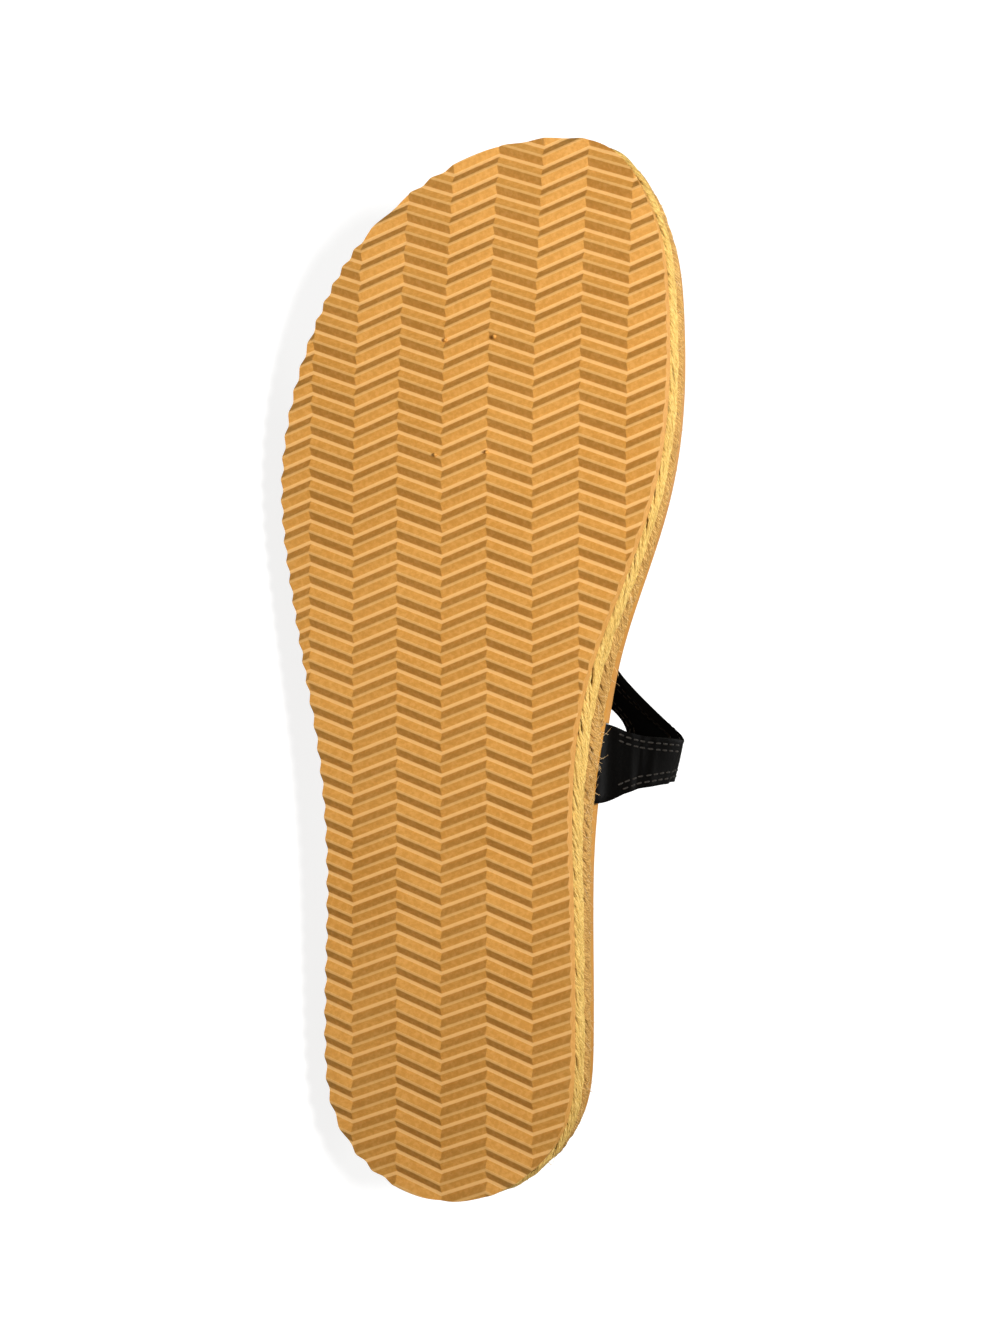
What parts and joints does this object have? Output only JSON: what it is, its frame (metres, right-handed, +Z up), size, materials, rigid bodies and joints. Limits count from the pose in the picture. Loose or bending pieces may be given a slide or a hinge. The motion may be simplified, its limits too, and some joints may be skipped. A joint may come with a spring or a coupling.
{
  "type": "toe-loop sandal",
  "caption": "Flat toe-loop sandal for the right foot with a tan herringbone rubber sole, braided jute sides and thin black instep and toe straps, lying on its lateral side.",
  "frame": {"origin": "centre of the bounding box on the floor, with the sandal lying on its lateral side", "axes": "+X from heel to toe along the floor, +Y out of the tread's side, +Z up from the floor towards the medial side"},
  "size_m": [0.2558, 0.092, 0.0961],
  "materials": {
    "tan_rubber": "moulded, satin",
    "golden_jute": "braided, matte",
    "tan_jute": "braided, matte",
    "tan_leather": "smooth, semi-matte",
    "black_leather": "smooth, satin"
  },
  "bodies": {
    "root": {"outsole": "tan_rubber", "lower_braid": "golden_jute", "upper_braid": "tan_jute", "footbed": "tan_leather", "upper": "black_leather"}
  },
  "joints": []
}
